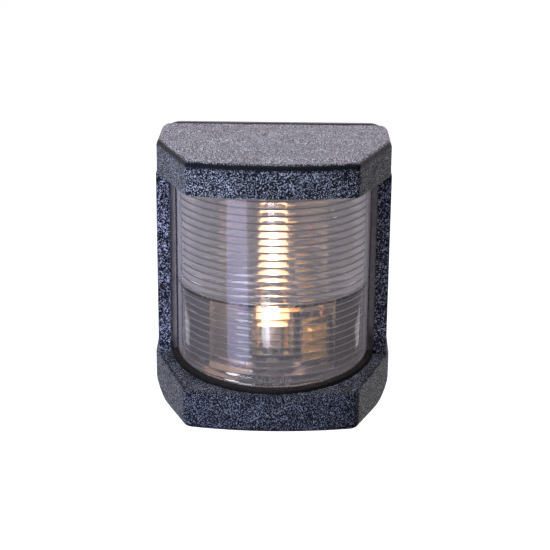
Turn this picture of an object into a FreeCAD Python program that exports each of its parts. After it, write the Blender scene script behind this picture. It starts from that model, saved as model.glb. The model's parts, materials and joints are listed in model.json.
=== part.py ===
"""Small bulkhead navigation light: a clear ridged lens in a black housing, on a wall base with a bulb.

Frame: millimetres, +Z up, the lens looks along -Y, the wall is the plane Y = 0 and the origin is
the centre of the two fixing screws on that plane.
"""
import FreeCAD, Part
import math
import os

from FreeCAD import Vector

os.makedirs("parts", exist_ok=True)

# Driving dimensions of the whole light
WIDTH = 73.1
FOOT_WIDTH = 75.5
HEIGHT = 87.0
DEPTH = 51.6
HALF = HEIGHT / 2

# Base on the wall
GASKET = 1.0
PLATE_FRONT = 3.0
PLATE_CORNER = 6.0
COVER_BACK = 4.2
SEAL_WIDTH = 1.6
SEAL_EDGE = 2.0
SCREW_HOLE = 2.25
SCREW_SPACING = 50.0
BOSS_RADIUS = 5.0
BOSS_HEIGHT = 1.4
TONGUE_HALF = 9.0
TONGUE_REACH = 12.0
TONGUE_Z = (37.2, 39.4)
RIB_HALF = 1.2
RIB_REACH = 9.0
RIB_FOOT = 34.2
BITE = 0.5

# Cover: plan of the caps, then their heights
FACET_START = 22.3
FACET_WIDTH = 11.0
BOW = 3.1
CORNER_DEPTH = DEPTH - BOW
CAP_UNDERSIDE = 31.5
CAP_FALL = 1.6
CAP_EDGE = 1.4
CORNER_EDGE = 1.8
LEDGE_BACK = -28.0
LEDGE_FALL = 3.0
RIM_LINE = 0.45
FOOT_EDGE = 2.2
FOOT_CORNER = 3.8
WALL = 3.3
POCKET_HALF = 24.0
FIT = 0.15
SHOULDER_RADIUS = 3.2
FOOT_RADIUS = 8.5

# Side frame
WING_OUT = 36.9
WING_IN = 32.6
STEP_IN = 31.1
STEP_FRONT = 20.0
WING_FOOT = -32.0
WING_EDGE = 0.6
RAIL = 4.0
RAIL_DEPTH = 4.2
CAP_SCREW_X = 28.0
CAP_SCREW_Y = 6.0
CAP_SCREW = 0.98
CAP_SCREW_COLLAR = 1.25
CAP_SCREW_HEAD = 1.9

# Lens
LENS_RADIUS = 30.8
LENS_WALL = 2.6
LENS_CENTRE = 16.7
LENS_TOP = 34.4
LENS_FOOT = -35.6
LENS_HALF_ANGLE = 100.0
RIDGE_PITCH = 2.3
RIDGE_DEPTH = 0.7
RIDGE_COUNT = 27
RIDGE_LAND = 0.6
RIDGE_HALF_ANGLE = 62.0
GROOVE_CLEARANCE = 0.25
SEAL_THICK = 1.0
COLLAR_WIDTH = 2.3
COLLAR_HEIGHT = 1.3

# Festoon bulb and its holder; the bulb's middle is level with the lens's optical centre
BULB_Z = -3.45
BULB_LENGTH = 41.0
BULB_CAP = 4.25
BULB_GLASS = 5.2
TIP_LENGTH = 2.5
CAP_LENGTH = 7.5
GLASS_WALL = 0.6
CAP_WALL = 0.4
LEAF = 0.6
LEAF_GAP = 0.3
LEAF_WIDTH = 9.6
LEAF_REACH = 21.6
LEAF_SLOT = 3.1
NECK_ROUND = 1.6
HOLDER_WIDTH = 14.0
HOLDER_FRONT = 8.0
HOLDER_HALF = 24.2
HOLDER_SCREW_Z = 21.6
HOLDER_SCREW = 1.25
HOLDER_SCREW_HEAD = 2.2
RIVET_Z = 14.0
RIVET = 1.05
SCREEN_X = 19.0
SCREEN_WALL = 1.2
SCREEN_REACH = 24.6
SCREEN_HALF = 27.5

# Terminals, inlet and leads
BLOCK = (8.6, 17.6)
BLOCK_FRONT = 9.6
PLATE = (7.6, 5.8, 0.9)
BLOCK_Z = (-27.5, -13.5)
TERMINAL_X = 13.1
TERMINAL_Z = {"positive": -17.2, "negative": -23.8}
INLET = (-13.0, -35.5)
INLET_BORE = 2.5
GROMMET_NECK = 3.5
GROMMET_FLANGE = 4.3
GROMMET_NOSE = 3.3
INLET_LENGTH = 7.0
LEAD_RADIUS = 0.75
POSITIVE_LEAD = (15.6, 5.0)
NEGATIVE_LEAD = (12.4, 3.0)
TERMINAL_SHANK = 1.25
TERMINAL_HEAD = 2.3
TAIL_Z = (4.5, 7.5)
TAIL_END = 8.5

# Retaining screw on the underside
SCREW_Y = 12.5
SHANK = 2.0
HEAD_POCKET = 4.2
HEAD_RADIUS = 3.8
SCREW_END = -31.0
LUG_Z = (-38.0, -35.5)
LUG_REACH = 17.0
NUT = 7.0
NUT_THICK = 2.2
LUG_SLOT = SHANK + 0.35
FLOOR_TOP = -39.0
HEAD_SEAT = -41.3
CAGE_WALL = 2.0
CAGE_REACH = 6.5
CAGE_TOP = -30.5


def box(x0, x1, y0, y1, z0, z1):
    """Box between depths y0 and y1, counted forwards from the wall."""
    return Part.makeBox(x1 - x0, abs(y1 - y0), z1 - z0, Vector(x0, -max(y0, y1), z0))


def rod(radius, start, end):
    """Round bar from one point to another."""
    along = end - start
    return Part.makeCylinder(radius, along.Length, start, along)


def upright(radius, x, depth, z0, z1):
    """Vertical round bar at a depth from the wall."""
    return rod(radius, Vector(x, -depth, z0), Vector(x, -depth, z1))


def spike(radius, x, z, y0, y1):
    """Round bar along Y between depths y0 and y1."""
    return rod(radius, Vector(x, -y0, z), Vector(x, -y1, z))


def mirrored(shape, side):
    """The shape itself above the bulb's middle, or its mirror image below it."""
    return shape if side > 0 else shape.mirror(Vector(0, 0, BULB_Z), Vector(0, 0, 1))


def plan(half_width, z):
    """Face of the caps' outline, seen from above: straight sides, angled facets and a bowed front."""
    corner = half_width - FACET_WIDTH
    points = [(-half_width, COVER_BACK), (-half_width, FACET_START), (-corner, CORNER_DEPTH)]
    left = [Vector(x, -y, z) for x, y in points]
    right = [Vector(-x, -y, z) for x, y in reversed(points)]
    nose = Part.Arc(left[-1], Vector(0, -DEPTH, z), right[0]).toShape()
    edges = [Part.LineSegment(a, b).toShape() for a, b in zip(left, left[1:])]
    edges.append(nose)
    edges += [Part.LineSegment(a, b).toShape() for a, b in zip(right, right[1:])]
    edges.append(Part.LineSegment(right[-1], left[0]).toShape())
    return Part.Face(Part.Wire(edges))


def rounded_panel(half_w, z0, z1, radius, y0, y1):
    """Upright plate with rounded corners, between depths y0 and y1."""
    shape = box(-half_w, half_w, y0, y1, z0, z1)
    edges = [e for e in shape.Edges if abs(e.tangentAt(e.FirstParameter).y) > 0.99]
    return shape.makeFillet(radius, edges)


def front_view(half_w, top_radius, foot_radius):
    """Long bar along Y with the light's rounded front outline."""
    shape = box(-half_w, half_w, 0, DEPTH + 5, -HALF, HALF)
    along = [e for e in shape.Edges if abs(e.tangentAt(e.FirstParameter).y) > 0.99]
    high = [e for e in along if e.CenterOfMass.z > 0]
    low = [e for e in along if e.CenterOfMass.z < 0]
    return shape.makeFillet(top_radius, high).makeFillet(foot_radius, low)


def above_slope(start, z_start, fall):
    """Everything above a plane that falls forwards, by a given fall from a depth to the front corners."""
    slope = fall / (CORNER_DEPTH - start)
    far = DEPTH + 5
    corners = [(0, z_start + slope * start), (far, z_start - slope * (far - start))]
    corners += [(far, HEIGHT), (0, HEIGHT)]
    points = [Vector(-WIDTH, -depth, z) for depth, z in corners]
    return Part.Face(Part.makePolygon(points + points[:1])).extrude(Vector(2 * WIDTH, 0, 0))


def drum(radius, z0, z1):
    """Round bar on the lens's axis."""
    return upright(radius, 0, LENS_CENTRE, z0, z1)


def lens_groove(z0, z1):
    """Round groove that a lens end stands in."""
    outer = drum(LENS_RADIUS + GROOVE_CLEARANCE, z0, z1)
    return outer.cut(drum(LENS_RADIUS - LENS_WALL - RIDGE_DEPTH - GROOVE_CLEARANCE, z0, z1))


def soften(shape, radius, pick):
    """Fillet the edges whose middle passes a test."""
    edges = [e for e in shape.Edges if pick(e)]
    return shape.makeFillet(radius, edges)


def edge_middle(edge):
    """Point halfway along an edge."""
    return edge.valueAt((edge.FirstParameter + edge.LastParameter) / 2)


def is_front_corner(edge):
    """Whether an edge is one of the upright corners between the facets and their neighbours."""
    return abs(edge.tangentAt(edge.FirstParameter).z) > 0.9 and edge_middle(edge).y < -5


def cap_screw_bores(radius, z0, z1):
    """Bores on the line of the screws that tie a cap to the side frame."""
    bores = [upright(radius, x, CAP_SCREW_Y, z0, z1) for x in (-CAP_SCREW_X, CAP_SCREW_X)]
    return bores[0].fuse(bores[1])


def cap_hollow(z0, z1, back_z0):
    """Room inside a cap: round behind the lens, square towards the base."""
    hollow = drum(LENS_RADIUS - LENS_WALL - RIDGE_DEPTH - 1.5, z0, z1)
    return hollow.fuse(box(-POCKET_HALF, POCKET_HALF, 0, LENS_CENTRE, back_z0, z1))


def make_top_cap():
    """Top moulding: hood over the lens, with a pocket open to the base."""
    body = plan(WIDTH / 2, CAP_UNDERSIDE).extrude(Vector(0, 0, HALF - CAP_UNDERSIDE + 1))
    body = body.cut(above_slope(0, HALF, CAP_FALL))
    body = soften(body, CORNER_EDGE, is_front_corner)
    body = soften(body, CAP_EDGE, lambda e: edge_middle(e).z > HALF - 3 and edge_middle(e).y < -5)
    body = body.common(front_view(WIDTH / 2, SHOULDER_RADIUS, 1.0))
    body = body.cut(cap_hollow(CAP_UNDERSIDE, HALF - WALL, CAP_UNDERSIDE + RAIL))
    body = body.cut(lens_groove(CAP_UNDERSIDE, LENS_TOP + SEAL_THICK))
    return body.cut(cap_screw_bores(CAP_SCREW + 0.02, CAP_UNDERSIDE - 1, CAP_UNDERSIDE + 6))


def make_bottom_cap():
    """Bottom moulding: sloped ledge, floor and a seat for the retaining screw."""
    body = plan(FOOT_WIDTH / 2, -HALF).extrude(Vector(0, 0, HALF))
    body = soften(body, FOOT_CORNER, is_front_corner)
    body = soften(body, FOOT_EDGE, lambda e: edge_middle(e).z < -HALF + 0.5 and edge_middle(e).y < -5)
    body = body.common(front_view(FOOT_WIDTH / 2, 1.0, FOOT_RADIUS))
    body = body.cut(above_slope(FACET_START, LEDGE_BACK, LEDGE_FALL))
    body = body.cut(box(-WING_OUT - FIT, WING_OUT + FIT, 0, FACET_START + FIT, WING_FOOT, 0))
    body = body.cut(cap_hollow(FLOOR_TOP, 0, FLOOR_TOP)).cut(lens_groove(LENS_FOOT - SEAL_THICK, 0))
    body = body.cut(upright(SHANK + 0.3, 0, SCREW_Y, -HALF - 1, 0))
    body = body.cut(upright(HEAD_POCKET, 0, SCREW_Y, -HALF - 1, HEAD_SEAT))
    body = body.cut(cap_screw_bores(CAP_SCREW + 0.02, WING_FOOT - 5, WING_FOOT + 1)).cut(rim_line())
    return body.fuse(nut_cage()).removeSplitter()


def rim_line():
    """Fine groove just inside the ledge's outer edge."""
    outer = plan(FOOT_WIDTH / 2, LEDGE_BACK - LEDGE_FALL - 2).makeOffset2D(-RIM_LINE)
    line = outer.extrude(Vector(0, 0, HALF)).cut(outer.makeOffset2D(-RIM_LINE).extrude(Vector(0, 0, HALF)))
    line = line.common(box(-WIDTH, WIDTH, FACET_START, DEPTH, -HALF, HALF))
    return line.common(above_slope(FACET_START, LEDGE_BACK - RIM_LINE, LEDGE_FALL))


def nut_cage():
    """Two upright cheeks on the cap's floor that keep the square nut from turning."""
    inside = NUT / 2 + FIT
    outside = inside + CAGE_WALL
    back, front = SCREW_Y - NUT / 2, SCREW_Y + NUT / 2 + CAGE_REACH
    cage = box(inside, outside, back, front, FLOOR_TOP, CAGE_TOP)
    cage = cage.fuse(box(-outside, -inside, back, front, FLOOR_TOP, CAGE_TOP))
    bridge = front - CAGE_WALL - 1
    return cage.fuse(box(-outside, outside, bridge - CAGE_WALL, bridge, FLOOR_TOP, CAGE_TOP))


def make_side_frame():
    """Middle moulding: two stepped wings beside the lens, tied by a rail under each cap."""
    frame = box(-WING_OUT, -WING_IN, COVER_BACK, FACET_START, WING_FOOT, CAP_UNDERSIDE)
    frame = frame.fuse(box(WING_IN, WING_OUT, COVER_BACK, FACET_START, WING_FOOT, CAP_UNDERSIDE))
    frame = soften(frame, WING_EDGE, lambda e: abs(edge_middle(e).y + FACET_START) < 0.1
                   and abs(e.tangentAt(e.FirstParameter).z) > 0.9)
    frame = frame.fuse(box(-WING_IN - 0.1, -STEP_IN, COVER_BACK, STEP_FRONT, WING_FOOT, CAP_UNDERSIDE))
    frame = frame.fuse(box(STEP_IN, WING_IN + 0.1, COVER_BACK, STEP_FRONT, WING_FOOT, CAP_UNDERSIDE))
    for low in (CAP_UNDERSIDE - RAIL, WING_FOOT):
        rail = box(-WING_IN - 0.1, WING_IN + 0.1, COVER_BACK, COVER_BACK + RAIL_DEPTH, low, low + RAIL)
        frame = frame.fuse(rail)
    return frame.cut(cap_screw_bores(CAP_SCREW_COLLAR + 0.05, -HALF, HALF)).removeSplitter()


def ridge_profile():
    """Section of the prism ridges, backed by the lens wall: they face the bulb's middle."""
    inner = LENS_RADIUS - LENS_WALL
    back = LENS_RADIUS - LENS_WALL / 2
    first = -(RIDGE_COUNT * RIDGE_PITCH) / 2
    points = [(back, first)]
    for index in range(RIDGE_COUNT):
        low = first + index * RIDGE_PITCH
        high = low + RIDGE_PITCH
        below = low + RIDGE_PITCH / 2 < BULB_Z
        crest = high - RIDGE_LAND if below else low + RIDGE_LAND
        points += [(inner, low), (inner - RIDGE_DEPTH, crest)]
    return points + [(inner, -first), (back, -first)]


def turned(profile, half_angle):
    """Solid turned about the lens's axis from a section of (radius, z) points, either side of the front."""
    points = [Vector(r, -LENS_CENTRE, z) for r, z in profile]
    face = Part.Face(Part.makePolygon(points + points[:1]))
    axis_point = Vector(0, -LENS_CENTRE, 0)
    face.rotate(axis_point, Vector(0, 0, 1), -90 - half_angle)
    return face.revolve(axis_point, Vector(0, 0, 1), 2 * half_angle)


def make_lens():
    """Clear drum lens, a little more than half round, with ridges inside except near its edges."""
    inner = LENS_RADIUS - LENS_WALL
    wall = [(inner, LENS_FOOT), (LENS_RADIUS, LENS_FOOT), (LENS_RADIUS, LENS_TOP), (inner, LENS_TOP)]
    drum_wall = turned(wall, LENS_HALF_ANGLE)
    return drum_wall.fuse(turned(ridge_profile(), RIDGE_HALF_ANGLE)).removeSplitter()


def make_lens_seal(z0, z1):
    """Rubber strip in a cap's groove, at the end of the lens."""
    ring = drum(LENS_RADIUS - 0.1, z0, z1).cut(drum(LENS_RADIUS - LENS_WALL, z0, z1))
    return ring.common(box(-40, 40, 15.0, 60, z0 - 1, z1 + 1))


def make_lens_collar():
    """Rubber collar on the ledge, around the foot of the lens."""
    ring = drum(LENS_RADIUS + COLLAR_WIDTH, -HALF, 0).cut(drum(LENS_RADIUS + 0.05, -HALF, 0))
    ring = ring.common(box(-HALF, HALF, FACET_START + FIT, DEPTH, -HALF, 0))
    ring = ring.common(above_slope(FACET_START, LEDGE_BACK, LEDGE_FALL))
    ring = ring.cut(above_slope(FACET_START, LEDGE_BACK + COLLAR_HEIGHT, LEDGE_FALL))
    return soften(ring, 0.4, lambda e: e.Length > 20 and edge_middle(e).z > ledge_height(e) + 0.6)


def ledge_height(edge):
    """Height of the sloped ledge at the middle of an edge."""
    ahead = -edge_middle(edge).y - FACET_START
    return LEDGE_BACK - LEDGE_FALL * ahead / (CORNER_DEPTH - FACET_START)


def make_gasket():
    """Rubber sheet between the base and the wall."""
    sheet = rounded_panel(WIDTH / 2 - 0.6, -HALF + 0.6, HALF - 0.6, PLATE_CORNER - 0.6, 0, GASKET)
    sheet = sheet.cut(fixing_holes(0, GASKET))
    return sheet.cut(spike(GROMMET_FLANGE + 0.1, INLET[0], INLET[1], 0, GASKET))


def fixing_holes(y0, y1):
    """Bores for the two fixing screws."""
    holes = [spike(SCREW_HOLE, x * SCREW_SPACING / 2, 0, y0, y1) for x in (-1, 1)]
    return holes[0].fuse(holes[1])


def seal_ring(grow, y0, y1):
    """Rounded rectangular ring in front of the base's rim."""
    half_w = WIDTH / 2 - SEAL_EDGE + grow
    half_h = HALF - SEAL_EDGE + grow
    width = SEAL_WIDTH + 2 * grow
    outer = rounded_panel(half_w, -half_h, half_h, 4.0 + grow, y0, y1)
    inner = rounded_panel(half_w - width, -half_h + width, half_h - width, 2.4, y0, y1)
    return outer.cut(inner)


def make_base():
    """Wall base: plate with a seal groove, a top tongue and a forked lug for the retaining screw."""
    base = rounded_panel(WIDTH / 2, -HALF, HALF, PLATE_CORNER, GASKET, PLATE_FRONT)
    base = soften(base, 0.5, lambda e: abs(edge_middle(e).y + PLATE_FRONT) < 0.01)
    base = base.cut(seal_ring(0.05, 2.4, PLATE_FRONT))
    for x in (-1, 1):
        base = base.fuse(spike(BOSS_RADIUS, x * SCREW_SPACING / 2, 0, PLATE_FRONT - BITE,
                               PLATE_FRONT + BOSS_HEIGHT))
    base = base.cut(fixing_holes(0, PLATE_FRONT + BOSS_HEIGHT))
    base = base.cut(spike(GROMMET_NECK, INLET[0], INLET[1], 0, PLATE_FRONT))
    root = PLATE_FRONT - BITE
    tongue = box(-TONGUE_HALF, TONGUE_HALF, root, TONGUE_REACH, *TONGUE_Z)
    lug = box(-NUT / 2, NUT / 2, root, LUG_REACH, *LUG_Z)
    fork = upright(LUG_SLOT, 0, SCREW_Y, LUG_Z[0], LUG_Z[1])
    lug = lug.cut(fork.fuse(box(-LUG_SLOT, LUG_SLOT, SCREW_Y, LUG_REACH, LUG_Z[0], LUG_Z[1])))
    rib = box(-RIB_HALF, RIB_HALF, root, RIB_REACH, RIB_FOOT, TONGUE_Z[0] + 0.2)
    return base.fuse(tongue).fuse(lug).fuse(rib).removeSplitter()


def make_grommet():
    """Rubber grommet for the supply cable, with a flange on each side of the base."""
    x, z = INLET
    body = spike(GROMMET_NECK, x, z, 0, PLATE_FRONT + 1.0)
    body = body.fuse(spike(GROMMET_FLANGE, x, z, 0, GASKET))
    body = body.fuse(spike(GROMMET_FLANGE, x, z, PLATE_FRONT, PLATE_FRONT + 1.0))
    body = body.fuse(spike(GROMMET_NOSE, x, z, PLATE_FRONT, INLET_LENGTH))
    return body.cut(spike(INLET_BORE, x, z, -1, INLET_LENGTH + 1)).removeSplitter()


def make_screen():
    """Black sector screen: two fins that cut the light off at the sides, on a thin frame."""
    outer = box(-SCREEN_X - SCREEN_WALL, SCREEN_X + SCREEN_WALL, PLATE_FRONT, PLATE_FRONT + SCREEN_WALL,
                -SCREEN_HALF, SCREEN_HALF)
    window = box(-SCREEN_X + 0.4, SCREEN_X - 0.4, PLATE_FRONT, PLATE_FRONT + SCREEN_WALL,
                 -HALF, SCREEN_HALF - 1.8)
    frame = outer.cut(window)
    for side in (-1, 1):
        x0 = SCREEN_X if side > 0 else -SCREEN_X - SCREEN_WALL
        frame = frame.fuse(box(x0, x0 + SCREEN_WALL, PLATE_FRONT, SCREEN_REACH, -SCREEN_HALF, SCREEN_HALF))
    for x in (-1, 1):
        frame = frame.cut(spike(BOSS_RADIUS + 0.2, x * SCREW_SPACING / 2, 0, 0, PLATE_FRONT + 3))
    return frame.removeSplitter()


def make_holder():
    """Insulating lampholder body that the contacts are riveted to."""
    half = HOLDER_WIDTH / 2
    body = box(-half, half, PLATE_FRONT, HOLDER_FRONT, BULB_Z - HOLDER_HALF, BULB_Z + HOLDER_HALF)
    body = soften(body, 1.0, lambda e: abs(edge_middle(e).y + HOLDER_FRONT) < 0.01)
    for side in (-1, 1):
        body = body.cut(spike(RIVET + 0.05, 0, BULB_Z + side * RIVET_Z, PLATE_FRONT, HOLDER_FRONT))
        body = body.cut(spike(HOLDER_SCREW + 0.05, 0, BULB_Z + side * HOLDER_SCREW_Z, PLATE_FRONT, HOLDER_FRONT))
    return body.cut(box(-3.0, 3.0, 5.5, HOLDER_FRONT, BULB_Z - 8, BULB_Z + 8))


def make_holder_screws():
    """Two small screws that hold the lampholder on the base."""
    screws = []
    for side in (-1, 1):
        z = BULB_Z + side * HOLDER_SCREW_Z
        shank = spike(HOLDER_SCREW, 0, z, PLATE_FRONT, HOLDER_FRONT)
        head = spike(HOLDER_SCREW_HEAD, 0, z, HOLDER_FRONT, HOLDER_FRONT + 1.4)
        slot = box(-3, 3, HOLDER_FRONT + 0.8, HOLDER_FRONT + 2, z - 0.3, z + 0.3)
        screws.append(shank.fuse(head).cut(slot).removeSplitter())
    return Part.makeCompound(screws)


def leaf_level():
    """Height of the inner face of the upper contact leaf, with the bulb pushed home."""
    return BULB_Z + BULB_LENGTH / 2 - TIP_LENGTH + LEAF_GAP


def make_leaf(side):
    """Springy part of a contact: a slotted plate with a rolled root, across the end of the bulb."""
    low = leaf_level()
    half = LEAF_WIDTH / 2
    root = HOLDER_FRONT + 0.25 + LEAF / 2
    leaf = box(-half, half, root, LEAF_REACH, low, low + LEAF)
    middle = low + LEAF / 2
    leaf = leaf.fuse(rod(LEAF / 2, Vector(-half, -root, middle), Vector(half, -root, middle)))
    leaf = leaf.cut(upright(LEAF_SLOT, 0, LENS_CENTRE, low - 1, low + 2))
    leaf = leaf.cut(box(-LEAF_SLOT, LEAF_SLOT, LENS_CENTRE, LEAF_REACH + 1, low - 1, low + 2))
    lip = box(-half, half, HOLDER_FRONT + 2.5, HOLDER_FRONT + 3.3, low + LEAF, low + LEAF + 0.5)
    return mirrored(leaf.fuse(lip).removeSplitter(), side)


def make_tab(side):
    """Fixed part of a contact: a riveted plate with a tail for its lead."""
    half = LEAF_WIDTH / 2
    back, front = HOLDER_FRONT, HOLDER_FRONT + LEAF
    end = leaf_level() - 0.3
    tail_low, tail_high = (BULB_Z + z for z in TAIL_Z)
    tab = box(-half, half, back, front, tail_low, end)
    tab = tab.fuse(box(half - 1, TAIL_END, back, front, tail_low, tail_high))
    tab = tab.cut(spike(RIVET + 0.05, 0, BULB_Z + RIVET_Z, back, front))
    return mirrored(tab.removeSplitter(), side)


def make_rivets():
    """Two tubular rivets through the contacts and the lampholder."""
    rivets = []
    seat = HOLDER_FRONT + LEAF
    for side in (-1, 1):
        z = BULB_Z + side * RIVET_Z
        body = spike(RIVET, 0, z, PLATE_FRONT, seat)
        head = spike(2 * RIVET, 0, z, seat, seat + 0.7)
        head = soften(head, 0.4, lambda e: edge_middle(e).y < -seat - 0.6 and e.Length > 5)
        rivets.append(body.fuse(head).removeSplitter())
    return Part.makeCompound(rivets)


def glass_half():
    """Half the length of the bulb's glass between its end caps."""
    return BULB_LENGTH / 2 - TIP_LENGTH - CAP_LENGTH


def bulb_rod(radius, half):
    """Round bar on the bulb's axis, centred on its middle."""
    return upright(radius, 0, LENS_CENTRE, BULB_Z - half, BULB_Z + half)


def make_bulb_glass():
    """Tubular bulb envelope, closed inside both end caps."""
    half = glass_half()
    tube = soften(bulb_rod(BULB_GLASS, half), NECK_ROUND, lambda e: e.Length > 5 and len(e.Vertexes) < 2)
    outer = tube.fuse(bulb_rod(BULB_CAP - CAP_WALL, half + 4))
    return outer.cut(bulb_rod(BULB_GLASS - GLASS_WALL, half - 0.8)).removeSplitter()


def make_bulb_cap(side):
    """Metal end cap of the bulb, with a pointed tip."""
    low = BULB_Z + glass_half()
    high = low + CAP_LENGTH
    shell = upright(BULB_CAP, 0, LENS_CENTRE, low, high)
    shell = soften(shell, 0.5, lambda e: e.Length > 5 and edge_middle(e).z > high - 0.1)
    cap = shell.fuse(Part.makeCone(2.9, 1.1, TIP_LENGTH, Vector(0, -LENS_CENTRE, high - 0.001)))
    cap = cap.cut(upright(BULB_CAP - CAP_WALL, 0, LENS_CENTRE, low, low + 4)).removeSplitter()
    cap = cap.cut(Part.makeTorus(BULB_GLASS, NECK_ROUND, Vector(0, -LENS_CENTRE, low - NECK_ROUND)))
    return mirrored(cap, side)


def make_filament():
    """Filament with its two support posts, inside the glass."""
    half = glass_half() - 0.8
    return bulb_rod(1.4, half - 0.8).fuse(bulb_rod(0.25, half)).removeSplitter()


def make_block():
    """Insulating terminal block with a bore for each screw."""
    block = box(BLOCK[0], BLOCK[1], PLATE_FRONT, BLOCK_FRONT, BLOCK_Z[0], BLOCK_Z[1])
    block = soften(block, 0.6, lambda e: abs(edge_middle(e).y + BLOCK_FRONT) < 0.01)
    for z in TERMINAL_Z.values():
        block = block.cut(spike(TERMINAL_SHANK + 0.05, TERMINAL_X, z, PLATE_FRONT + 1, BLOCK_FRONT))
    return block


def make_terminal_plates():
    """Brass plates on the terminal block that clamp the wires."""
    plates = []
    wide, high, thick = PLATE
    for z in TERMINAL_Z.values():
        plate = box(TERMINAL_X - wide / 2, TERMINAL_X + wide / 2, BLOCK_FRONT, BLOCK_FRONT + thick,
                    z - high / 2, z + high / 2)
        plate = soften(plate, 0.3, lambda e: abs(edge_middle(e).y + BLOCK_FRONT + thick) < 0.01)
        plates.append(plate.cut(spike(TERMINAL_SHANK + 0.05, TERMINAL_X, z, BLOCK_FRONT, BLOCK_FRONT + thick)))
    return Part.makeCompound(plates)


def make_terminal_screw(z):
    """Slotted screw that turns in a terminal plate."""
    seat = BLOCK_FRONT + PLATE[2]
    shank = spike(TERMINAL_SHANK, TERMINAL_X, z, PLATE_FRONT + 2, seat)
    head = soften(spike(TERMINAL_HEAD, TERMINAL_X, z, seat, seat + 1.8), 0.5,
                  lambda e: e.Length > 5 and edge_middle(e).y < -seat - 1.5)
    slot = box(TERMINAL_X - 3, TERMINAL_X + 3, seat + 0.9, seat + 3, z - 0.3, z + 0.3)
    return shank.fuse(head).cut(slot).removeSplitter()


def make_lead(side, x, radius):
    """Insulated lead from the top of the terminal block, at x, round a bend to a contact's tail."""
    depth = HOLDER_FRONT + LEAF / 2
    tail_z = BULB_Z + side * sum(TAIL_Z) / 2
    start = Vector(x, -depth, BLOCK_Z[1])
    corner = Vector(x, -depth, tail_z)
    end = Vector(TAIL_END, -depth, tail_z)
    before = Vector(x, -depth, tail_z - radius)
    after = Vector(x - radius, -depth, tail_z)
    middle = corner + Vector(-radius, 0, -radius) * (1 - math.sqrt(0.5))
    path = Part.Wire([
        Part.LineSegment(start, before).toShape(),
        Part.Arc(before, middle, after).toShape(),
        Part.LineSegment(after, end).toShape(),
    ])
    ring = Part.Wire(Part.makeCircle(LEAD_RADIUS, start, Vector(0, 0, 1)))
    return path.makePipeShell([ring], True, True)


def make_retaining_screw():
    """Cross-slotted screw on the underside, with a groove that keeps it in the cap."""
    head = upright(HEAD_RADIUS, 0, SCREW_Y, HEAD_SEAT - 2.4, HEAD_SEAT - 0.6)
    head = soften(head, 0.6, lambda e: e.Length > 5 and edge_middle(e).z < HEAD_SEAT - 2)
    screw = head.fuse(upright(SHANK, 0, SCREW_Y, HEAD_SEAT - 0.6, SCREW_END))
    groove = upright(SHANK + 0.6, 0, SCREW_Y, FLOOR_TOP + 0.1, FLOOR_TOP + 0.7)
    screw = screw.cut(groove.cut(upright(SHANK - 0.4, 0, SCREW_Y, FLOOR_TOP, FLOOR_TOP + 1)))
    for wide, deep in ((2.4, 0.4), (0.4, 2.4)):
        screw = screw.cut(box(-wide, wide, SCREW_Y - deep, SCREW_Y + deep, HEAD_SEAT - 3, HEAD_SEAT - 1.5))
    return screw.removeSplitter()


def make_screw_clip():
    """Spring clip in the screw's groove, which keeps the screw captive."""
    ring = upright(3.0, 0, SCREW_Y, FLOOR_TOP + 0.15, FLOOR_TOP + 0.65)
    ring = ring.cut(upright(SHANK - 0.38, 0, SCREW_Y, FLOOR_TOP - 1, FLOOR_TOP + 2))
    return ring.cut(box(-1.0, 1.0, SCREW_Y, SCREW_Y + 5, FLOOR_TOP - 1, FLOOR_TOP + 2))


def make_screw_seal():
    """O-ring under the screw's head."""
    ring = upright(3.4, 0, SCREW_Y, HEAD_SEAT - 0.58, HEAD_SEAT)
    return ring.cut(upright(SHANK + 0.06, 0, SCREW_Y, HEAD_SEAT - 1, HEAD_SEAT + 1))


def make_nut():
    """Square nut above the base's lug."""
    half = NUT / 2
    nut = box(-half, half, SCREW_Y - half, SCREW_Y + half, LUG_Z[1] + 0.02, LUG_Z[1] + 0.02 + NUT_THICK)
    nut = soften(nut, 0.4, lambda e: abs(e.tangentAt(e.FirstParameter).z) > 0.9)
    return nut.cut(upright(SHANK + 0.05, 0, SCREW_Y, -45, -25))


def make_cap_screws(seat, up):
    """Two screws through a rail of the side frame into a cap; up is 1 or -1, the way they point."""
    screws = []
    for x in (-CAP_SCREW_X, CAP_SCREW_X):
        shank = upright(CAP_SCREW, x, CAP_SCREW_Y, *sorted((seat, seat + up * (RAIL + 4.5))))
        collar = upright(CAP_SCREW_COLLAR, x, CAP_SCREW_Y, *sorted((seat, seat + up * (RAIL - 0.1))))
        head = upright(CAP_SCREW_HEAD, x, CAP_SCREW_Y, *sorted((seat, seat - up * 1.3)))
        slot_z = sorted((seat - up * 0.7, seat - up * 2))
        slot = box(x - 2, x + 2, CAP_SCREW_Y - 0.25, CAP_SCREW_Y + 0.25, *slot_z)
        screws.append(shank.fuse(collar).fuse(head).cut(slot).removeSplitter())
    return Part.makeCompound(screws)


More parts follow.
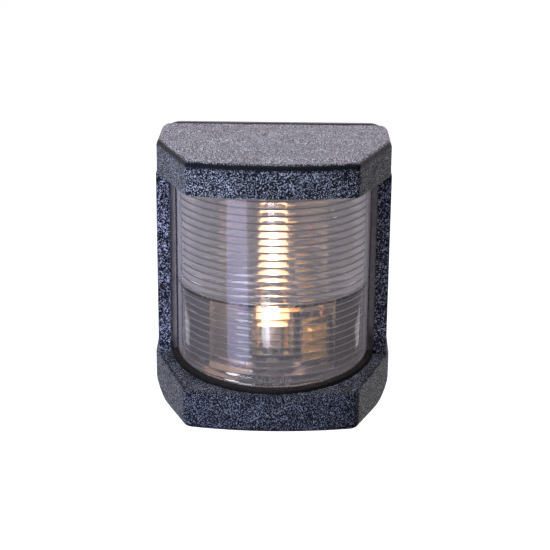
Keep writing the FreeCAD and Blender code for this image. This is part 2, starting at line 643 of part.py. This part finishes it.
def build():
    """Every piece of the light by name."""
    return {
        "wall_gasket": make_gasket(),
        "mounting_base": make_base(),
        "base_seal": seal_ring(0.0, 2.4, COVER_BACK - 0.02),
        "cable_grommet": make_grommet(),
        "sector_screen": make_screen(),
        "lampholder": make_holder(),
        "lampholder_screws": make_holder_screws(),
        "upper_contact_tab": make_tab(1),
        "lower_contact_tab": make_tab(-1),
        "upper_contact_leaf": make_leaf(1),
        "lower_contact_leaf": make_leaf(-1),
        "contact_rivets": make_rivets(),
        "terminal_block": make_block(),
        "terminal_plates": make_terminal_plates(),
        "positive_terminal_screw": make_terminal_screw(TERMINAL_Z["positive"]),
        "negative_terminal_screw": make_terminal_screw(TERMINAL_Z["negative"]),
        "positive_lead": make_lead(1, *POSITIVE_LEAD),
        "negative_lead": make_lead(-1, *NEGATIVE_LEAD),
        "bulb_glass": make_bulb_glass(),
        "bulb_upper_cap": make_bulb_cap(1),
        "bulb_lower_cap": make_bulb_cap(-1),
        "bulb_filament": make_filament(),
        "top_cap": make_top_cap(),
        "bottom_cap": make_bottom_cap(),
        "side_frame": make_side_frame(),
        "top_cap_screws": make_cap_screws(CAP_UNDERSIDE - RAIL, 1),
        "bottom_cap_screws": make_cap_screws(WING_FOOT + RAIL, -1),
        "fresnel_lens": make_lens(),
        "upper_lens_seal": make_lens_seal(LENS_TOP, LENS_TOP + SEAL_THICK),
        "lower_lens_seal": make_lens_seal(LENS_FOOT - SEAL_THICK, LENS_FOOT),
        "lens_collar": make_lens_collar(),
        "retaining_screw": make_retaining_screw(),
        "screw_clip": make_screw_clip(),
        "screw_seal": make_screw_seal(),
        "square_nut": make_nut(),
    }


for name, shape in build().items():
    if not shape.isValid() or shape.Volume <= 0:
        raise SystemExit(f"{name} isn't a valid solid")
    shape.exportStep(f"parts/{name}.step")
    print(name, len(shape.Solids), round(shape.Volume, 2))
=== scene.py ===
"""Looks of the bulkhead navigation light: black grained housing, clear ridged lens and a lit bulb.

Lengths are metres in the part's own frame: +Z up, the lens faces -Y, the wall is the plane Y = 0.
"""
import json
import math

import bmesh
import bpy
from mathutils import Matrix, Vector

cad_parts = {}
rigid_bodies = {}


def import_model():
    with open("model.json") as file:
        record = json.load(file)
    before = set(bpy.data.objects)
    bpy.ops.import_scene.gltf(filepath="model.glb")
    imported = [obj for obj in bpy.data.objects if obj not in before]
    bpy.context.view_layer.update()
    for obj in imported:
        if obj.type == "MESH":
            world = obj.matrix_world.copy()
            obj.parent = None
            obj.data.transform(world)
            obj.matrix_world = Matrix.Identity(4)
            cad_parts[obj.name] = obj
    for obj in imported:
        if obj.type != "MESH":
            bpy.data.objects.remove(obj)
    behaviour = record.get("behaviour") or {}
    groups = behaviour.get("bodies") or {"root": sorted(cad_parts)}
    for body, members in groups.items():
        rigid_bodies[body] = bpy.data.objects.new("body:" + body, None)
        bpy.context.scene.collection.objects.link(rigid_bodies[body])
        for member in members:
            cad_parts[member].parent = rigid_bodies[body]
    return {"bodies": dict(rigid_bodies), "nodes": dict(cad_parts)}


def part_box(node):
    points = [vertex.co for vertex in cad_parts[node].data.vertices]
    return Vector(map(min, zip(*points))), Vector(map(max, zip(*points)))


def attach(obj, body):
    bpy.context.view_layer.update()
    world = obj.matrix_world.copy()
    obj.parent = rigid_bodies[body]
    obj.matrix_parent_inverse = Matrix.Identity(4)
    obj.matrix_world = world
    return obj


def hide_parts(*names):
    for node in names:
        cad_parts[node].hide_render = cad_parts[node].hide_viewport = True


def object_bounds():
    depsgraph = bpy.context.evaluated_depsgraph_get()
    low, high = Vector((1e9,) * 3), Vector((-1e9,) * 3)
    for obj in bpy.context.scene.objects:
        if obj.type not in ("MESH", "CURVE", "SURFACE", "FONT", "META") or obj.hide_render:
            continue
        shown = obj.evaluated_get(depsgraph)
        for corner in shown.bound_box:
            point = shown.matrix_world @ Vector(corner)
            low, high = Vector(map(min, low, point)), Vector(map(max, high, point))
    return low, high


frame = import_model()
NODES = frame["nodes"]
CAD_BOX = [list(corner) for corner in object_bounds()]

MM = 0.001

# Camera; the lens is its focal length in millimetres
CAMERA_DISTANCE = 0.461
CAMERA_ELEVATION = math.radians(18.5)
CAMERA_AZIMUTH = math.radians(0.62)
CAMERA_LENS = 95.6
CAMERA_AIM = Vector((0.0007, -0.027, 0.0))
CAMERA_ROLL = math.radians(0.5)

# Lens: its wall, the radius of its rounded edges, and how far it goes round on each side
LENS_WALL = 2.6 * MM
LENS_EDGE = 0.5 * MM
EDGE_TURNS = [math.radians(turn) for turn in (30.0, 60.0, 90.0)]
LENS_HALF_ANGLE = math.radians(100.0)
LENS_STEP = math.radians(1.0)

# Prism ridges: land is the width of the steep step, bulge curves the slope and round softens the crest
RIDGE_DEPTH = 0.7 * MM
RIDGE_PITCH = 2.3 * MM
RIDGE_COUNT = 27
RIDGE_LAND = 0.35 * MM
RIDGE_ROUND = 0.22
RIDGE_BULGE = 1.4
RIDGE_HALF_ANGLE = math.radians(74.0)

# Band of the lens that holds the line where the ridges turn over
PARTING_BAND = 2.4 * MM

# Edges of new meshes that turn more than this stay sharp
SHARP_ANGLE = math.radians(35.0)

# Filament: a coil with a straight lead at each end; the wire is given by its radius
FILAMENT_WIRE = 0.2 * MM
FILAMENT_LEAD = 1.0 * MM
FILAMENT_TURNS = 34
POINTS_PER_TURN = 12

# Inner edge of the side frame's grained wings
WING_IN = 32.59 * MM

# Painted shade on the top cap's rounded edge, for the dark it reflects: its depth, and how the cap's top
# plane falls forwards
RIM_SHADE_DEPTH = 2.4 * MM
CAP_FALL = 1.6 / 48.5

# Floor, far enough below and behind to fade into the white surroundings
FLOOR_HALF_WIDTH = 0.6
FLOOR_FRONT = 0.3
FLOOR_BACK = 5.0
FLOOR_DROP = 0.25

# Housing colours: the plastic itself and painted glints on the crests of its grain, dimmer on the foot and
# brighter on the wings
BLACK = (0.003, 0.005, 0.008)
PAINTED_GLINT = (0.70, 0.77, 0.92)
FOOT_PAINTED_GLINT = (0.46, 0.52, 0.64)
WING_BLACK = (0.004, 0.006, 0.012)
WING_PAINTED_GLINT = (0.66, 0.71, 0.95)


# ---------------------------------------------------------------- node helpers

class Shader:
    """A material with short calls for adding and joining nodes."""

    def __init__(self, name):
        self.material = bpy.data.materials.new(name)
        self.material.use_nodes = True
        self.nodes = self.material.node_tree.nodes
        self.links = self.material.node_tree.links
        self.surface = self.nodes["Principled BSDF"]
        self.coords = self.nodes.new("ShaderNodeTexCoord").outputs["Object"]

    def set(self, **values):
        """Sets the surface shader's own sockets; underscores stand for spaces."""
        for name, value in values.items():
            self.surface.inputs[name.replace("_", " ")].default_value = value
        return self

    def join(self, source, target):
        """Links an output to a named input of the surface shader."""
        self.links.new(source, self.surface.inputs[target])

    def stretched(self, scale):
        """Object coordinates, scaled along each axis."""
        node = self.nodes.new("ShaderNodeMapping")
        node.inputs["Scale"].default_value = scale
        self.links.new(self.coords, node.inputs["Vector"])
        return node.outputs["Vector"]

    def noise(self, size, detail=2.0, roughness=0.5, vector=None):
        """Noise whose features measure about size, in metres."""
        node = self.nodes.new("ShaderNodeTexNoise")
        node.inputs["Scale"].default_value = 1.0 / size
        node.inputs["Detail"].default_value = detail
        node.inputs["Roughness"].default_value = roughness
        self.links.new(vector or self.coords, node.inputs["Vector"])
        return node.outputs["Fac"]

    def ramp(self, factor, *stops):
        """Colour ramp from (position, colour) pairs."""
        node = self.nodes.new("ShaderNodeValToRGB")
        elements = node.color_ramp.elements
        while len(elements) < len(stops):
            elements.new(0.5)
        for element, (position, colour) in zip(elements, stops):
            element.position = position
            element.color = (*colour, 1.0)
        self.links.new(factor, node.inputs["Fac"])
        return node.outputs["Color"]

    def remap(self, factor, low, high, start, end):
        """Numbers from low to high while the factor runs from start to end."""
        node = self.nodes.new("ShaderNodeMapRange")
        node.inputs["From Min"].default_value = start
        node.inputs["From Max"].default_value = end
        node.inputs["To Min"].default_value = low
        node.inputs["To Max"].default_value = high
        self.links.new(factor, node.inputs["Value"])
        return node.outputs["Result"]

    def mix(self, first, second, share):
        """first times (1 - share) plus second times share."""
        node = self.nodes.new("ShaderNodeMix")
        node.data_type = "FLOAT"
        node.inputs["Factor"].default_value = share
        self.links.new(first, node.inputs["A"])
        self.links.new(second, node.inputs["B"])
        return node.outputs["Result"]

    def times(self, first, second):
        """first times second."""
        node = self.nodes.new("ShaderNodeMath")
        node.operation = "MULTIPLY"
        self.links.new(first, node.inputs[0])
        self.links.new(second, node.inputs[1])
        return node.outputs["Value"]

    def band(self, direction, start, width):
        """Numbers from 0 to 1 across a band of the object, width deep along a direction from start."""
        dot = self.nodes.new("ShaderNodeVectorMath")
        dot.operation = "DOT_PRODUCT"
        dot.inputs[1].default_value = direction
        self.links.new(self.coords, dot.inputs[0])
        return self.remap(dot.outputs["Value"], 0.0, 1.0, start, start + width)

    def blend(self, factor, colour, other):
        """Colour mixed towards one fixed colour by a factor."""
        node = self.nodes.new("ShaderNodeMix")
        node.data_type = "RGBA"
        self.links.new(factor, node.inputs["Factor"])
        self.links.new(colour, node.inputs["A"])
        node.inputs["B"].default_value = (*other, 1.0)
        return node.outputs["Result"]

    def bump(self, height, strength, distance):
        """Bumps the surface by a height map; distance in metres."""
        node = self.nodes.new("ShaderNodeBump")
        node.inputs["Strength"].default_value = strength
        node.inputs["Distance"].default_value = distance
        self.links.new(height, node.inputs["Height"])
        self.join(node.outputs["Normal"], "Normal")
        return self


# ---------------------------------------------------------------- materials

def grained_plastic(name, dark, glint, grain=0.34 * MM, roughness=0.3, shaded_rim=None):
    """Moulded black plastic with a coarse spark-eroded grain; pale specks on its crests are painted glints.

    The last argument, if given, is (z at the wall, fall per metre forwards) of a cap's top plane: the
    rounded edge just below that plane gets painted shade, the plain dark colour without painted glints.
    """
    shader = Shader(name).set(Specular_IOR_Level=0.32)
    coarse = shader.noise(grain, 1.0, 0.5)
    patches = shader.noise(5.0 * MM, 3.0, 0.6)
    height = shader.mix(coarse, patches, 0.12)
    # Painted glints: the pale specks on the grain's crests stand in for light glinting off them
    between = tuple((low + high) / 4 for low, high in zip(dark, glint))
    colour = shader.ramp(height, (0.53, dark), (0.57, between), (0.605, glint))
    # Painted shade: along the cap's rounded edge the colour goes back to the plain dark plastic
    if shaded_rim:
        level, fall = shaded_rim
        below = shader.band((0.0, fall, -1.0), -level, RIM_SHADE_DEPTH)
        edge = shader.ramp(below, (0.0, (0, 0, 0)), (0.15, (1, 1, 1)), (0.55, (1, 1, 1)), (1.0, (0, 0, 0)))
        colour = shader.blend(edge, colour, dark)
    shader.join(colour, "Base Color")
    shader.join(shader.remap(coarse, roughness + 0.25, roughness, 0.35, 0.65), "Roughness")
    return shader.bump(coarse, 1.0, 0.25 * MM).material


def satin_plastic(name, colour, roughness=0.45, texture=0.6):
    """Plain moulded plastic with a faint texture; texture is how strongly that shows."""
    shader = Shader(name)
    pale = tuple(min(1.0, channel * 1.25 + 0.004) for channel in colour)
    dark = tuple(channel * 0.8 for channel in colour)
    mottle = shader.noise(2.5 * MM, 3.0)
    grain = shader.noise(0.25 * MM, 2.0)
    shader.join(shader.ramp(mottle, (0.3, dark), (0.7, pale)), "Base Color")
    shader.join(shader.remap(grain, roughness - 0.07, roughness + 0.1, 0.3, 0.7), "Roughness")
    return shader.bump(grain, texture, 0.03 * MM).material


def rubber(name):
    """Matt black rubber with a dusty bloom."""
    shader = Shader(name).set(Specular_IOR_Level=0.3)
    bloom = shader.noise(1.6 * MM, 4.0, 0.6)
    grain = shader.noise(0.18 * MM, 2.0)
    shader.join(shader.ramp(bloom, (0.35, (0.011, 0.011, 0.012)), (0.7, (0.03, 0.029, 0.029))), "Base Color")
    shader.join(shader.remap(bloom, 0.62, 0.85, 0.3, 0.7), "Roughness")
    return shader.bump(grain, 0.5, 0.03 * MM).material


def brushed_metal(name, dark, light, along, roughness):
    """Rolled or turned metal with fine lines along one axis and a little tarnish."""
    shader = Shader(name).set(Metallic=1.0)
    scale = [1.0 if axis == along else 14.0 for axis in "XYZ"]
    lines = shader.noise(1.4 * MM, 2.0, 0.6, shader.stretched(scale))
    stain = shader.noise(2.2 * MM, 4.0, 0.6)
    shader.join(shader.ramp(shader.mix(lines, stain, 0.6), (0.36, dark), (0.62, light)), "Base Color")
    shader.join(shader.remap(stain, roughness - 0.06, roughness + 0.14, 0.3, 0.7), "Roughness")
    return shader.bump(lines, 0.35, 0.02 * MM).material


def clear_lens_material(name, clarity, glow, parting, shade=1.0):
    """Clear plastic; clarity is the share of light that the moulding lets through.

    glow is a painted glow for the lamp's light scattered in the plastic; the last argument darkens it below
    1 as painted shade.
    parting is the height where the ridges turn over: a thin, broken dark line runs round there.
    """
    shader = Shader(name).set(Transmission_Weight=clarity, IOR=1.49, Emission_Strength=glow,
                              Emission_Color=(1.0, 0.93, 0.99, 1.0))
    haze = shader.noise(6.0 * MM, 4.0, 0.6)
    ripple = shader.mix(shader.noise(3.5 * MM, 2.0), shader.noise(0.55 * MM, 2.0), 0.3)
    dull = tuple(shade * channel for channel in (0.86, 0.85, 0.92))
    bright = tuple(shade * channel for channel in (0.96, 0.95, 0.98))
    colour = shader.ramp(haze, (0.3, dull), (0.7, bright))
    line = shader.ramp(shader.band((0.0, 0.0, 1.0), parting - PARTING_BAND / 2, PARTING_BAND),
                       (0.28, (0, 0, 0)), (0.36, (1, 1, 1)), (0.64, (1, 1, 1)), (0.72, (0, 0, 0)))
    breaks = shader.remap(shader.noise(1.6 * MM, 3.0, 0.7), 0.0, 1.0, 0.38, 0.48)
    shader.join(shader.blend(shader.times(line, breaks), colour, (0.02, 0.02, 0.03)), "Base Color")
    shader.join(shader.remap(haze, 0.05, 0.12, 0.4, 0.75), "Roughness")
    return shader.bump(ripple, 0.4, 0.08 * MM).material


def bulb_glass_material():
    """Drawn clear glass with faint draw lines, a trace of darkening and a painted warm glow for the
    filament's light.
    """
    shader = Shader("bulb_glass_clear").set(Transmission_Weight=1.0, IOR=1.46, Emission_Strength=0.35,
                                            Emission_Color=(1.0, 0.48, 0.26, 1.0))
    lines = shader.noise(1.5 * MM, 2.0, 0.5, shader.stretched((6.0, 6.0, 0.4)))
    shader.join(shader.ramp(lines, (0.3, (0.97, 0.95, 0.90)), (0.7, (1.0, 0.99, 0.96))), "Base Color")
    shader.join(shader.remap(lines, 0.24, 0.36, 0.3, 0.7), "Roughness")
    return shader.bump(lines, 0.2, 0.04 * MM).material


def glowing_material():
    """White-hot tungsten, a little cooler in places."""
    shader = Shader("hot_tungsten").set(Emission_Strength=90.0, Roughness=0.5)
    heat = shader.noise(2.5 * MM, 1.0)
    shader.join(shader.ramp(heat, (0.3, (1.0, 0.58, 0.28)), (0.6, (1.0, 0.80, 0.56))), "Emission Color")
    shader.join(shader.ramp(heat, (0.3, (0.5, 0.4, 0.3)), (0.6, (0.7, 0.6, 0.5))), "Base Color")
    return shader.material


def insulation(name, colour):
    """Glossy extruded wire insulation."""
    shader = Shader(name)
    streak = shader.noise(1.2 * MM, 2.0, 0.5, shader.stretched((2.0, 2.0, 0.5)))
    dark = tuple(channel * 0.7 for channel in colour)
    shader.join(shader.ramp(streak, (0.3, dark), (0.7, colour)), "Base Color")
    shader.join(shader.remap(streak, 0.25, 0.4, 0.3, 0.7), "Roughness")
    return shader.bump(streak, 0.2, 0.03 * MM).material


def floor_material():
    """Pale studio floor, lit from within like a light table."""
    shader = Shader("pale_floor").set(Roughness=0.9, Specular_IOR_Level=0.1, Emission_Strength=0.95)
    tone = shader.noise(0.35, 2.0)
    shader.join(shader.ramp(tone, (0.3, (0.93, 0.93, 0.93)), (0.7, (0.96, 0.96, 0.96))), "Base Color")
    shader.join(shader.ramp(tone, (0.3, (0.98, 0.98, 0.98)), (0.7, (1.0, 1.0, 1.0))), "Emission Color")
    return shader.material


def dress(names, material):
    """Gives CAD nodes one material."""
    for name in names:
        data = NODES[name].data
        data.materials.clear()
        data.materials.append(material)


def dress_steps(material):
    """Gives the side frame's plain inner steps, beside the lens, their own smooth material in a pale painted
    sheen.
    """
    data = NODES["side_frame"].data
    data.materials.append(material)
    for face in data.polygons:
        if abs(face.center.x) < WING_IN and face.normal.y < -0.5:
            face.material_index = 1


# ---------------------------------------------------------------- mesh helpers

def add_piece(name, data, material, body, replaced):
    """Puts a new mesh or curve on a CAD body in place of a CAD node."""
    piece = bpy.data.objects.new(name, data)
    bpy.context.scene.collection.objects.link(piece)
    data.materials.append(material)
    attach(piece, body)
    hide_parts(replaced)


def turned_mesh(name, sections, angles, centre):
    """Mesh about an upright axis from one closed section of (radius, height) points at each angle."""
    mesh = bmesh.new()
    rings = []
    for section, angle in zip(sections, angles):
        sideways, forwards = math.sin(angle), -math.cos(angle)
        rings.append([mesh.verts.new((centre.x + radius * sideways, centre.y + radius * forwards, height))
                      for radius, height in section])
    for left, right in zip(rings, rings[1:]):
        for index in range(len(left)):
            after = (index + 1) % len(left)
            mesh.faces.new((left[index], right[index], right[after], left[after]))
    mesh.faces.new(rings[0])
    mesh.faces.new(list(reversed(rings[-1])))
    bmesh.ops.recalc_face_normals(mesh, faces=mesh.faces)
    for face in mesh.faces:
        face.smooth = True
    for edge in mesh.edges:
        if edge.calc_face_angle() > SHARP_ANGLE:
            edge.smooth = False
    data = bpy.data.meshes.new(name)
    mesh.to_mesh(data)
    mesh.free()
    return data


# ---------------------------------------------------------------- pieces

def ridge_depth(share, below_centre):
    """Height of a prism ridge, 0 to 1, part way up its pitch; its corners are softly rounded."""
    land = RIDGE_LAND / RIDGE_PITCH
    along = share if below_centre else 1 - share
    rise = 1 - max(0.0, 1 - along / (1 - land)) ** RIDGE_BULGE
    fall = (1 - along) / land
    sharp = min(rise, fall)
    crest = 1 - RIDGE_ROUND / 2 * max(0.0, 1 - abs(rise - fall) / (2 * RIDGE_ROUND)) ** 2
    return min(sharp, 1.0) * crest


def lens_section(low, high, outer, optical_centre, ridged):
    """Closed section of the lens: rounded edges, smooth outside, with or without prism ridges inside.

    Each ridge has points up its slope, at its crest and down its steep step.
    """
    inner = outer - LENS_WALL
    section = [(outer, low + LENS_EDGE), (outer, optical_centre), (outer, high - LENS_EDGE)]
    section += [(outer - LENS_EDGE * (1 - math.cos(turn)), high - LENS_EDGE * (1 - math.sin(turn)))
                for turn in EDGE_TURNS]
    section.append((inner, high))
    bottom = -RIDGE_COUNT * RIDGE_PITCH / 2
    land = RIDGE_LAND / RIDGE_PITCH
    shares = [0.0, 0.2, 0.4, 0.6, 1 - land - 0.06, 1 - land, 1 - land / 2]
    teeth = []
    for index in range(RIDGE_COUNT):
        start = bottom + index * RIDGE_PITCH
        below = start + RIDGE_PITCH / 2 < optical_centre
        steps = shares if below else [0.0] + [1 - share for share in reversed(shares[1:])]
        for share in steps:
            depth = ridge_depth(share, below) * RIDGE_DEPTH if ridged else 0.0
            teeth.append((inner - depth, start + share * RIDGE_PITCH))
    teeth.append((inner, bottom + RIDGE_COUNT * RIDGE_PITCH))
    section += reversed(teeth)
    section.append((inner, low))
    section += [(outer - LENS_EDGE * (1 - math.cos(turn)), low + LENS_EDGE * (1 - math.sin(turn)))
                for turn in reversed(EDGE_TURNS)]
    return section


def build_lens():
    """Clear drum lens: prism ridges in the middle, plain borders towards its edges.

    Above the bulb's middle the painted glow is stronger, and the ridges' downward steps get painted shade.
    """
    low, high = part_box("fresnel_lens")
    outer = (high.x - low.x) / 2
    centre = Vector(((low.x + high.x) / 2, low.y + outer, 0))
    bulb_low, bulb_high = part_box("bulb_filament")
    optical_centre = (bulb_low.z + bulb_high.z) / 2
    steps = round(2 * LENS_HALF_ANGLE / LENS_STEP)
    angles = [-LENS_HALF_ANGLE + index * LENS_STEP for index in range(steps + 1)]
    sections = [lens_section(low.z, high.z, outer, optical_centre, abs(angle) < RIDGE_HALF_ANGLE)
                for angle in angles]
    mesh = turned_mesh("lens_drum", sections, angles, centre)
    # Each lens material's glow is a painted glow, strongest on the upper ridges
    lower = clear_lens_material("lens_lower", 0.95, 0.028, optical_centre)
    add_piece("lens_drum", mesh, lower, "cover", "fresnel_lens")
    others = [clear_lens_material("lens_border", 0.5, 0.04, optical_centre),
              clear_lens_material("lens_upper", 0.93, 0.056, optical_centre),
              # Painted shade: the ridges' downward steps above the bulb's middle are darkened
              clear_lens_material("lens_ridge_painted_shade", 0.4, 0.0, optical_centre, shade=0.02)]
    for material in others:
        mesh.materials.append(material)
    border, upper, ridge_shade = range(1, 1 + len(others))
    for face in mesh.polygons:
        middle = face.center - centre
        if abs(math.atan2(middle.x, -middle.y)) > RIDGE_HALF_ANGLE:
            face.material_index = border
        elif face.center.z > optical_centre:
            face.material_index = ridge_shade if face.normal.z < -0.7 else upper


def build_filament():
    """Coiled filament on two straight leads."""
    low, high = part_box("bulb_filament")
    centre = (low + high) / 2
    half = (high.z - low.z) / 2
    radius = (high.x - low.x) / 2 - FILAMENT_WIRE
    coil_half = half - FILAMENT_LEAD
    steps = FILAMENT_TURNS * POINTS_PER_TURN
    curve = bpy.data.curves.new("filament_coil", "CURVE")
    curve.dimensions = "3D"
    curve.bevel_depth = FILAMENT_WIRE
    curve.bevel_resolution = 2
    curve.use_fill_caps = True
    points = [(centre.x, centre.y, centre.z - half, 1)]
    for index in range(steps + 1):
        share = index / steps
        angle = share * FILAMENT_TURNS * 2 * math.pi
        points.append((centre.x + radius * math.cos(angle), centre.y + radius * math.sin(angle),
                       centre.z - coil_half + 2 * coil_half * share, 1))
    points.append((centre.x, centre.y, centre.z + half, 1))
    spline = curve.splines.new("POLY")
    spline.points.add(len(points) - 1)
    for point, place in zip(spline.points, points):
        point.co = place
    add_piece("filament_coil", curve, glowing_material(), "bulb", "bulb_filament")


# ---------------------------------------------------------------- stage

def aim(item, target):
    """Turns a camera or lamp to look at a point."""
    item.rotation_euler = (target - item.location).to_track_quat("-Z", "Y").to_euler()


def add_camera():
    """Camera in front of the light and a little above it, rolled by half a degree."""
    data = bpy.data.cameras.new("camera")
    data.lens = CAMERA_LENS
    camera = bpy.data.objects.new("camera", data)
    bpy.context.scene.collection.objects.link(camera)
    flat = math.cos(CAMERA_ELEVATION)
    towards = Vector((math.sin(CAMERA_AZIMUTH) * flat, -math.cos(CAMERA_AZIMUTH) * flat,
                      math.sin(CAMERA_ELEVATION)))
    camera.location = CAMERA_AIM + towards * CAMERA_DISTANCE
    aim(camera, CAMERA_AIM)
    camera.rotation_euler.rotate_axis("Z", CAMERA_ROLL)
    bpy.context.scene.camera = camera


def add_softbox(name, azimuth, elevation, distance, width, height, watts, colour, mirrored=True):
    """Rectangular studio lamp aimed at the middle of the light; azimuth 0 is in front, + to the right.

    mirrored tells whether shiny surfaces show the lamp's own reflection.
    """
    data = bpy.data.lights.new(name, "AREA")
    data.shape = "RECTANGLE"
    data.size = width
    data.size_y = height
    data.energy = watts
    data.color = colour
    lamp = bpy.data.objects.new(name, data)
    bpy.context.scene.collection.objects.link(lamp)
    across, up = math.radians(azimuth), math.radians(elevation)
    lamp.location = CAMERA_AIM + distance * Vector((math.sin(across) * math.cos(up),
                                                    -math.cos(across) * math.cos(up), math.sin(up)))
    aim(lamp, CAMERA_AIM)
    lamp.visible_glossy = mirrored


def add_bulb_lamp():
    """Warm light of the lit filament inside the lens."""
    low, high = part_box("bulb_filament")
    data = bpy.data.lights.new("bulb_lamp", "POINT")
    data.energy = 0.34
    data.color = (1.0, 0.65, 0.36)
    data.shadow_soft_size = 2.0 * MM
    lamp = bpy.data.objects.new("bulb_lamp", data)
    bpy.context.scene.collection.objects.link(lamp)
    lamp.location = (low + high) / 2
    lamp.parent = frame["bodies"]["bulb"]


def add_world():
    """White studio: bright behind the light, dark in front and dimmer below, plain white to the camera."""
    world = bpy.data.worlds.new("studio")
    bpy.context.scene.world = world
    world.use_nodes = True
    nodes, links = world.node_tree.nodes, world.node_tree.links
    nodes.clear()
    output = nodes.new("ShaderNodeOutputWorld")
    coords = nodes.new("ShaderNodeTexCoord")
    split = nodes.new("ShaderNodeSeparateXYZ")
    links.new(coords.outputs["Generated"], split.inputs["Vector"])
    spreads = []
    for axis, start, end, low, high in (("Y", 0.6, 1.0, 0.03, 2.4), ("Z", -0.35, 0.2, 0.25, 1.0)):
        spread = nodes.new("ShaderNodeMapRange")
        spread.interpolation_type = "SMOOTHSTEP"
        spread.inputs["From Min"].default_value = start
        spread.inputs["From Max"].default_value = end
        spread.inputs["To Min"].default_value = low
        spread.inputs["To Max"].default_value = high
        links.new(split.outputs[axis], spread.inputs["Value"])
        spreads.append(spread.outputs["Result"])
    strength = nodes.new("ShaderNodeMath")
    strength.operation = "MULTIPLY"
    links.new(spreads[0], strength.inputs[0])
    links.new(spreads[1], strength.inputs[1])
    room = nodes.new("ShaderNodeBackground")
    room.inputs["Color"].default_value = (1.0, 0.92, 1.03, 1.0)
    links.new(strength.outputs["Value"], room.inputs["Strength"])
    seen = nodes.new("ShaderNodeBackground")
    seen.inputs["Color"].default_value = (1.0, 1.0, 1.0, 1.0)
    path = nodes.new("ShaderNodeLightPath")
    mix = nodes.new("ShaderNodeMixShader")
    links.new(path.outputs["Is Camera Ray"], mix.inputs["Fac"])
    links.new(room.outputs["Background"], mix.inputs[1])
    links.new(seen.outputs["Background"], mix.inputs[2])
    links.new(mix.outputs["Shader"], output.inputs["Surface"])


def add_floor():
    """Pale floor well below and behind the light."""
    mesh = bpy.data.meshes.new("floor")
    level = CAD_BOX[0][2] - FLOOR_DROP
    corners = [(-FLOOR_HALF_WIDTH, FLOOR_FRONT, level), (FLOOR_HALF_WIDTH, FLOOR_FRONT, level),
               (FLOOR_HALF_WIDTH, FLOOR_BACK, level), (-FLOOR_HALF_WIDTH, FLOOR_BACK, level)]
    mesh.from_pydata(corners, [], [(0, 1, 2, 3)])
    floor = bpy.data.objects.new("floor", mesh)
    bpy.context.scene.collection.objects.link(floor)
    mesh.materials.append(floor_material())


def dress_cad_nodes():
    """Materials by the CAD nodes they dress."""
    cap_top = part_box("top_cap")[1].z
    dress(["top_cap"], grained_plastic("grained_cap", BLACK, PAINTED_GLINT, shaded_rim=(cap_top, CAP_FALL)))
    dress(["bottom_cap"], grained_plastic("grained_foot", BLACK, FOOT_PAINTED_GLINT))
    dress(["side_frame"], grained_plastic("grained_wing", WING_BLACK, WING_PAINTED_GLINT, roughness=0.4))
    # Painted sheen: the steps' pale grey stands in for the light their smooth faces catch
    dress_steps(satin_plastic("step_painted_sheen", (0.30, 0.27, 0.29)))
    dress(["mounting_base"], satin_plastic("base_plastic", (0.018, 0.018, 0.021)))
    dress(["sector_screen"], satin_plastic("screen_plastic", (0.010, 0.010, 0.011), 0.7, 0.9))
    dress(["wall_gasket", "base_seal", "cable_grommet", "upper_lens_seal", "lower_lens_seal",
           "lens_collar", "screw_seal"], rubber("seal_rubber"))
    dress(["lampholder"], satin_plastic("holder_insulator", (0.045, 0.040, 0.036), 0.4))
    dress(["terminal_block"], satin_plastic("terminal_plastic", (0.04, 0.04, 0.04), 0.35))
    dress(["upper_contact_tab", "lower_contact_tab", "upper_contact_leaf", "lower_contact_leaf",
           "contact_rivets", "terminal_plates", "positive_terminal_screw", "negative_terminal_screw"],
          brushed_metal("contact_brass", (0.62, 0.38, 0.12), (0.97, 0.72, 0.32), "Z", 0.30))
    dress(["bulb_upper_cap", "bulb_lower_cap"],
          brushed_metal("cap_nickel", (0.80, 0.77, 0.73), (0.98, 0.96, 0.92), "Z", 0.16))
    dress(["lampholder_screws", "top_cap_screws", "bottom_cap_screws", "retaining_screw", "screw_clip",
           "square_nut"],
          brushed_metal("screw_steel", (0.42, 0.42, 0.41), (0.70, 0.70, 0.69), "X", 0.26))
    dress(["positive_lead"], insulation("lead_brown", (0.09, 0.045, 0.025)))
    dress(["negative_lead"], insulation("lead_black", (0.02, 0.02, 0.02)))
    dress(["bulb_glass"], bulb_glass_material())
    # Clear glass lets the filament's light out without a shadow of its own
    NODES["bulb_glass"].visible_shadow = False


def add_softboxes():
    """Studio lamps: the front one gleams on the bulb's lower cap, the band one tints the lens lilac."""
    add_softbox("band_softbox", -42.0, -16.0, 0.9, 0.40, 0.5, 2.7, (0.52, 0.54, 1.0))
    add_softbox("key_softbox", -38.0, 32.0, 0.18, 0.06, 0.06, 0.125, (0.78, 0.87, 1.0), mirrored=False)
    add_softbox("front_softbox", -8.0, -22.5, 0.9, 0.14, 0.14, 0.78, (1.0, 0.97, 0.98))
    add_softbox("top_softbox", 0.0, 80.0, 0.9, 0.9, 0.6, 4.0, (1.0, 0.93, 1.0))
    add_softbox("left_softbox", -100.0, 10.0, 1.0, 0.3, 0.7, 0.2, (0.9, 0.92, 1.0))
    add_softbox("right_softbox", 75.0, 15.0, 1.0, 0.3, 0.7, 0.15, (1.0, 0.93, 0.86))


add_camera()
add_world()
add_floor()
dress_cad_nodes()
build_lens()
build_filament()
add_bulb_lamp()
add_softboxes()
bpy.context.scene.view_settings.view_transform = "Standard"
